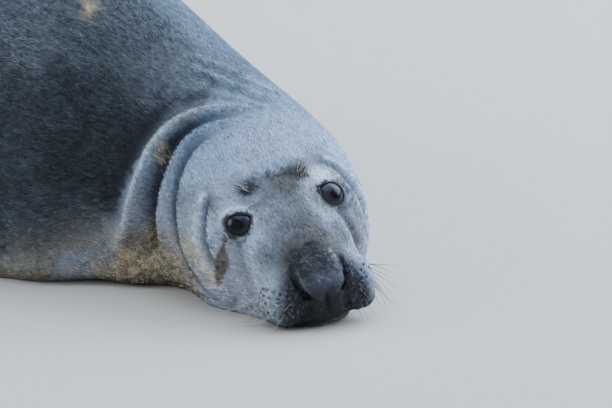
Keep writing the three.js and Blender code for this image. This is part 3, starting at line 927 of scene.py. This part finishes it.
for side, name in ((1, "left"), (-1, "right")):
    flip = np.array([1, side, 1])
    look, outward, upward = EYE_AXES[side]
    gaze = look + outward * 0.05 - upward * 0.14
    facing = Vector(turn @ (gaze * flip)).to_track_quat("Z", "Y").to_euler()
    bpy.ops.object.select_all(action="DESELECT")
    bpy.ops.mesh.primitive_uv_sphere_add(
        segments=64, ring_count=40, radius=BALL_RADIUS, location=from_face(BALL * flip), rotation=facing
    )
    eye = bpy.context.object
    eye.name = eye.data.name = f"eyeball_{name}"
    # The cornea stands about a millimetre proud of the ball, over the iris.
    local = points_of(eye)
    out = np.linalg.norm(local[:, :2], axis=1)
    local[:, 2] += 0.0010 * (local[:, 2] > 0) * fall(out, 0.004, 0.0135)
    put_points(eye, local)
    put_values(eye.data, "ring", np.where(local[:, 2] > 0, out / BALL_RADIUS, 1.0))
    bpy.ops.object.transform_apply(location=True, rotation=True, scale=True)
    bpy.ops.object.shade_smooth()
    eye.data.materials.append(cornea)
    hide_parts(f"eye_{name}")
    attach(eye, "root")

# ---- the lids' bare black edges: a thin wet roll of skin round each opening, with creases
# about 1 mm apart
lid_skin = grained("wet_black_lid_skin", 900.0, 3.0, [(0, "#0b0b0e"), (1, "#26252a")], 0.4, 0.0003, 0.28, 1.42)
ROUND, THICK = 0.25, 1.15  # the roll's radius on the ring that it starts from, and in millimetres
for side, name in ((1, "left"), (-1, "right")):
    bpy.ops.object.select_all(action="DESELECT")
    bpy.ops.mesh.primitive_torus_add(major_segments=72, minor_segments=10, major_radius=1, minor_radius=ROUND)
    rim_roll = bpy.context.object
    rim_roll.name = rim_roll.data.name = f"lid_edge_{name}"
    ring = points_of(rim_roll)
    turned = np.arctan2(ring[:, 1], ring[:, 0])
    outward = (np.linalg.norm(ring[:, :2], axis=1) - 1) / ROUND
    arc = (opening(turned, side) + 0.2 + THICK * outward) / EYEBALL
    way = np.stack([np.cos(arc), np.sin(arc) * np.cos(turned), np.sin(arc) * np.sin(turned)], 1) @ EYE_AXES[side]
    ring = BALL + way * (EYEBALL + 0.7 + THICK * ring[:, 2] / ROUND)[:, None]
    put_points(rim_roll, from_face(ring * (1, side, 1)))
    edit(rim_roll, bpy.ops.mesh.normals_make_consistent, inside=False)
    bpy.ops.object.shade_smooth()
    rim_roll.data.materials.append(lid_skin)
    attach(rim_roll, "root")


# ---------------------------------------------------------------- coat
# Short hair that lies flat from nose to tail, in thin pointed tufts that overlap like tiles:
# finest on the face and flippers, longest on the rump. Each tuft is a closed three-sided
# spike whose root is sunk in the skin.
# Damp guard hair is half dull, and takes a bluish sheen from the sky where it is seen flat.
fur, tree, body = new_material("flat_guard_hair")
coat_colour = add(tree, "Attribute", attribute_name="coat")["Color"]
feed(body, {"Base Color": coat_colour, "Roughness": 0.5, "IOR": 1.3})
feed(body, {"Sheen Weight": 0.12, "Sheen Roughness": 0.25, "Sheen Tint": (0.70, 0.84, 1.0, 1.0)})

skin.data.calc_loop_triangles()
corners = np.empty(len(skin.data.loop_triangles) * 3, np.int32)
skin.data.loop_triangles.foreach_get("vertices", corners)
corners = corners.reshape(-1, 3)
points, normals = points_and_normals(skin)
first, second, third = (points[corners[:, i]] for i in range(3))
areas = np.linalg.norm(np.cross(second - first, third - first), axis=1) / 2
middles = points[corners].mean(1)
rng = np.random.default_rng(11)
MOST_TUFTS = 49500  # at four triangles each, a piece stays under 200,000
TUFT_FACES = np.array([[0, 2, 1], [0, 3, 2], [1, 2, 3], [0, 1, 3]])
# the darker root is partly the hair's own tone and partly painted shade deep in the coat
ROOT_TO_TIP = np.array([0.50, 0.50, 1.0, 1.3])  # a tuft is darker at its root than at its tip
PATCH = np.array([[0, 0], [0.003, 0], [0.0015, 0.0015], [0.0015, 0.003]])


def linked(name, data):
    made = bpy.data.objects.new(name, data)
    bpy.context.scene.collection.objects.link(made)
    return made


def grow(name, wanted, spacing, length, width, stand, limb_way=None):
    """One piece of coat on the wanted triangles, a tuft for each spacing squared."""
    chosen = np.nonzero(wanted)[0]
    area = areas[chosen].sum()
    count = min(MOST_TUFTS, int(area / spacing**2))
    picks = corners[chosen[rng.choice(len(chosen), count, p=areas[chosen] / area)]]
    a, b = rng.random(count), rng.random(count)
    over_edge = a + b > 1
    a[over_edge], b[over_edge] = 1 - a[over_edge], 1 - b[over_edge]
    weights = np.stack([1 - a - b, a, b], 1)[:, :, None]
    roots = (points[picks] * weights).sum(1)
    slopes = unit((normals[picks] * weights).sum(1))
    behind, back, angle = on_spine(roots)
    # Hair lies back along the spine, or along the flipper, and flat on the skin.
    way = back if limb_way is None else limb_way
    way = way - slopes * (way * slopes).sum(1)[:, None]
    way /= np.maximum(np.linalg.norm(way, axis=1), 1e-6)[:, None]
    across = np.cross(slopes, way)
    # Damp hair draws together in locks, which turn a little to one side or the other.
    tones = marks(roots)
    dark = fall(tones.mean(1), 0.01, 0.16)
    swerve = (rng.normal(0, 0.15, count) + (0.6 + 0.5 * dark) * (lattice(roots, 0.009, 51) - 0.5))[:, None]
    way = way * np.cos(swerve) + across * np.sin(swerve)
    across = np.cross(slopes, way)
    sand = sanded(roots)
    long = (length * rng.uniform(0.75, 1.2, count) * (1 - 0.6 * sand))[:, None]
    wide = (width * rng.uniform(0.75, 1.25, count))[:, None]
    tip_up = (stand * rng.uniform(0.5, 1.3, count))[:, None]
    base = roots - slopes * 0.0005 - way * long * 0.05
    spikes = np.stack(
        [
            base - across * wide / 2,
            base + across * wide / 2,
            roots + slopes * (0.0002 + tip_up * 0.6) + way * long * 0.45,
            roots + slopes * tip_up + way * long,
        ],
        axis=1,
    )
    spikes[:, :, 2] = np.maximum(spikes[:, :, 2], 0.0002)
    faces = (np.arange(count)[:, None, None] * 4 + TUFT_FACES).reshape(-1, 3)
    mesh = bpy.data.meshes.new(name)
    mesh.vertices.add(count * 4)
    mesh.vertices.foreach_set("co", spikes.astype(np.float32).ravel())
    mesh.loops.add(len(faces) * 3)
    mesh.loops.foreach_set("vertex_index", faces.astype(np.int32).ravel())
    mesh.polygons.add(len(faces))
    mesh.polygons.foreach_set("loop_start", np.arange(0, len(faces) * 3, 3, dtype=np.int32))
    mesh.update(calc_edges=True)
    # Hairs of one tuft share a tone. Locks show as fine strokes along the coat, stronger in
    # dark hair than in pale.
    stroke = np.stack([behind * 0.45, angle * 0.17, 0 * angle], 1)
    lock = 1.5 * (lattice(stroke, 0.0026, 61) - 0.5) + 0.9 * (lattice(roots, 0.0040, 63) - 0.5)
    face = to_face(roots)
    cheek = ramp(face[:, 0], -70, -25) * fall(face[:, 2], 0, 25)
    # sand sticks to the coat grain by grain: some dark, some pale
    grains = rng.random(count)
    sand = np.minimum(1.4 * sand, 1)
    tones = over(tones, BLACK, (grains < 0.40) * sand * 0.9)
    tones = over(tones, TAN, (grains > 0.68) * sand)
    streaks = rng.normal(0, 0.30 + 0.32 * dark) + (0.45 + 1.25 * dark + 0.9 * cheek) * lock
    tones *= np.exp(1.22 * np.tanh(streaks))[:, None]
    paint(mesh, np.clip(tones[:, None] * ROOT_TO_TIP[:, None], 0.003, 1).reshape(-1, 3))
    # Each tuft is a small patch, at its root's place on the hide rolled out flat.
    unroll = np.stack([(behind - behind.min()) / np.ptp(behind), (angle + math.pi) / (2 * math.pi)], 1)
    spots = (unroll[:, None] * 0.995 + PATCH).reshape(-1, 2)
    uv = mesh.uv_layers.new(name="OFBake")
    uv.data.foreach_set("uv", spots[faces.ravel()].astype(np.float32).ravel())
    tuft = linked(name, mesh)
    mesh.materials.append(fur)
    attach(tuft, "root")


# What grows no hair: the lids' edges, the nose leather, and what lies on the ground.
face = to_face(middles)
x, side, z = face[:, 0], np.abs(face[:, 1]), face[:, 2]
radius, rim, _ = eye_place(face)
bare = (radius < 40) & (rim < 1.16) | (x > 88) & (side < 27) & (z > -74) & (z < -4) | (middles[:, 2] < LAID)
on_limb = near_flipper(middles, 0.02) > 0.5
behind = on_spine(middles)[0]
facial = ~bare & ~on_limb & (x > FACE_START)
neck = ~bare & ~on_limb & ~facial & (behind < 0.45)
chest = ~bare & ~on_limb & ~facial & ~neck & (behind < 0.78)
rear = ~bare & ~on_limb & ~facial & ~neck & ~chest

grow("coat_muzzle", facial & (x > 58), 0.0013, 0.0026, 0.0008, 0.0002)
grow("coat_cheeks", facial & (x > 14) & (x <= 58), 0.0014, 0.0036, 0.0009, 0.0003)
grow("coat_temples", facial & (x <= 14), 0.0014, 0.0044, 0.0009, 0.0003)
grow("coat_neck_right", neck & (face[:, 1] < 0), 0.0016, 0.0064, 0.0011, 0.0005)
grow("coat_neck_left", neck & (face[:, 1] >= 0), 0.0019, 0.0072, 0.0013, 0.0005)
grow("coat_chest_right", chest & (middles[:, 1] < 0), 0.0019, 0.0080, 0.0014, 0.0008)
grow("coat_chest_left", chest & (middles[:, 1] >= 0), 0.0023, 0.0095, 0.0017, 0.0009)
grow("coat_rear_right", rear & (middles[:, 1] < -0.02), 0.0033, 0.0135, 0.0025, 0.0012)
grow("coat_rear_left", rear & (middles[:, 1] >= -0.02), 0.0033, 0.0135, 0.0025, 0.0012)
for name in FLIPPERS:
    low, high = box_of(name)
    sweep = (0.09 if "left" in name else -0.09) * ("fore" in name)
    here = ~bare & on_limb & in_box(middles, name, 0.004)
    grow(f"coat_{name}", here, 0.0028, 0.0075, 0.0017, 0.0006, np.array([low[0] - high[0], sweep, 0]))


# ---------------------------------------------------------------- whiskers
# Stiff tapered bristles: up to forty millimetres and more on the whisker pads, in rows, and a
# few finer ones over each brow. Dark horn at the root that bleaches toward the tip.
bristle, tree, body = new_material("bleached_whisker_horn")
along = add(tree, "Attribute", attribute_name="along")["Fac"]
bleached = add(tree, "ValToRGB", {"Fac": along}, [(0, "#2b2620"), (1, "#cfc6b2")])["Color"]
feed(body, {"Base Color": bleached, "Roughness": 0.35, "IOR": 1.55})


def bristles(name, items, thickness, pale):
    """Tapered round bristles from roots in the face's frame, each with its way and length."""
    rings, around = 12, 6
    t = np.linspace(-0.04, 1, rings)
    girth = thickness / 2000 * (1 - 0.82 * np.clip(t, 0, 1))[:, None, None]
    angles = (np.arange(around) * 2 * math.pi / around)[None, :, None]
    all_points, all_faces = [], []
    for root, way, length, droop in items:
        line = on_skin(root) + np.outer(t * length / 1000, turn @ unit(way))
        line[:, 2] = np.maximum(line[:, 2] - droop / 1000 * t**2, 0.0012)
        heading = unit(np.gradient(line, axis=0))
        one = unit(np.cross(heading, (0.3, 0.1, 1.0)))
        two = np.cross(heading, one)
        circle = one[:, None] * np.cos(angles) + two[:, None] * np.sin(angles)
        first = len(all_points) * rings * around
        all_points.append((line[:, None] + circle * girth).reshape(-1, 3))
        for i in range(first, first + (rings - 1) * around, around):
            for j in range(around):
                a, b = i + j, i + (j + 1) % around
                all_faces.append((a, b, b + around, a + around))
        last = first + (rings - 1) * around
        all_faces.append(tuple(reversed(range(first, first + around))))
        all_faces.append(tuple(range(last, last + around)))
    mesh = bpy.data.meshes.new(name)
    mesh.from_pydata(np.concatenate(all_points).tolist(), [], all_faces)
    put_values(mesh, "along", np.tile(np.repeat(np.clip(t, 0, 1) * 0.6 + pale, around), len(items)))
    made = linked(name, mesh)
    edit(made, bpy.ops.mesh.normals_make_consistent, inside=False)
    bpy.ops.object.shade_smooth()
    mesh.materials.append(bristle)
    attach(made, "root")


rng = np.random.default_rng(23)
for side, name in ((1, "left"), (-1, "right")):
    pads, brows = [], []
    for i, root in enumerate(follicles[follicles[:, 1] * side > 0]):
        row, k = divmod(i, IN_ROW)
        if row > 0 and k < 6 and (row + k) % 3:
            way = np.array([0.22 - 0.10 * k, side * (0.72 + 0.08 * k), -0.22 - 0.13 * row]) + rng.normal(0, 0.11, 3)
            # the upper side's droop, the lowest of them forward over the lip
            if side > 0:
                way += (0.5, -0.45, -0.25) if row > 2 else (0.1, 0, -0.35)
            pads.append((root, way, (16 + 9.0 * k) * rng.uniform(0.7, 1.3), rng.uniform(1, 5)))
    for k in range(6):
        root = np.array([-32 + rng.normal(0, 3), (33.5 + rng.normal(0, 3)) * side, 24])
        way = np.array([-0.55, side * 0.75, 0.40]) + rng.normal(0, 0.18, 3)
        brows.append((root, way, rng.uniform(16, 40), rng.uniform(0, 3)))
    bristles(f"pad_whiskers_{name}", pads, 0.9, 0.0 if side > 0 else 0.3)
    bristles(f"brow_whiskers_{name}", brows, 0.8, 0.4)


# ---------------------------------------------------------------- claws
# Dark horn claws, five to a flipper: long and curved on the fore flippers, small on the hind
# ones. The solids' shape is kept and rounded, and sand has scuffed the horn in blotches of
# about 4 mm.
horn = grained("worn_claw_horn", 260.0, 4.0, [(0.3, "#17130f"), (0.75, "#4b3f33")], 0.3, 0.0004, 0.38, 1.55)
for name in FLIPPERS:
    limb, side = name.split("_flipper_")
    names = [f"{limb}_claw_{side}_{k}" for k in range(1, 6)]
    claws = copy_of(names, f"claws_{limb}_{side}")
    apply(claws, "SUBSURF", levels=2, render_levels=2)
    bpy.ops.object.shade_smooth()
    claws.data.materials.append(horn)
    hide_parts(*names)
    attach(claws, "root")


# ---------------------------------------------------------------- studio
# A plain pale floor, a large soft light above and behind like an overcast sky, and a weaker
# fill from the camera's side.
bpy.ops.object.select_all(action="DESELECT")
bpy.ops.mesh.primitive_plane_add(size=30, location=(0, 0, 0))
floor = bpy.context.object
floor.name = "floor"
floor_paint, _, body = new_material("pale_floor_paint")
feed(body, {"Base Color": (*to_linear("#cdc8bf"), 1), "Roughness": 0.8})
floor.data.materials.append(floor_paint)

world = bpy.data.worlds.new("studio")
bpy.context.scene.world = world
world.use_nodes = True
sky = world.node_tree.nodes["Background"].inputs
sky["Color"].default_value = (0.80, 0.88, 1.0, 1)
sky["Strength"].default_value = 0.45


def soft_light(name, place, aim, size, power, colour):
    data = bpy.data.lights.new(name, "AREA")
    data.shape = "RECTANGLE"
    data.size, data.size_y = size
    data.energy = power
    data.color = colour
    lamp = linked(name, data)
    lamp.location = place
    lamp.rotation_euler = (Vector(aim) - Vector(place)).to_track_quat("-Z", "Y").to_euler()


soft_light("sky_panel", (0.2, 0.9, 3.4), (0.4, 0, 0.1), (4.5, 4.5), 165, (0.70, 0.84, 1.0))
soft_light("rim_panel", (1.6, 3.2, 2.4), (0.5, 0, 0.2), (4.6, 3.0), 330, (0.64, 0.80, 1.0))
soft_light("side_panel", (-1.7, -2.6, 1.7), (0.7, -0.1, 0.1), (2.4, 2.0), 90, (0.76, 0.88, 1.0))
soft_light("fill_panel", (2.2, -3.2, 1.8), (0.6, 0, 0.1), (3.0, 2.4), 10, (1.0, 0.97, 0.93))

# The camera stands low ahead of the right shoulder, with a long lens, and frames the head.
azimuth, elevation, distance, view_width = math.radians(40), math.radians(17), 6.5, 0.7038
level = math.cos(elevation)
camera_data = bpy.data.cameras.new("camera")
camera = linked("camera", camera_data)
bpy.context.scene.camera = camera
across = Vector((math.cos(azimuth), math.sin(azimuth), 0))
back = Vector((math.sin(azimuth) * level, -math.cos(azimuth) * level, math.sin(elevation)))
aim = Vector(face_origin) + across * 0.023575 + back.cross(across) * 0.007475
camera.location = aim + back * distance
camera.rotation_euler = back.to_track_quat("Z", "Y").to_euler()
camera_data.sensor_width = 36
camera_data.lens = 36 * distance / view_width
camera_data.clip_end = 60
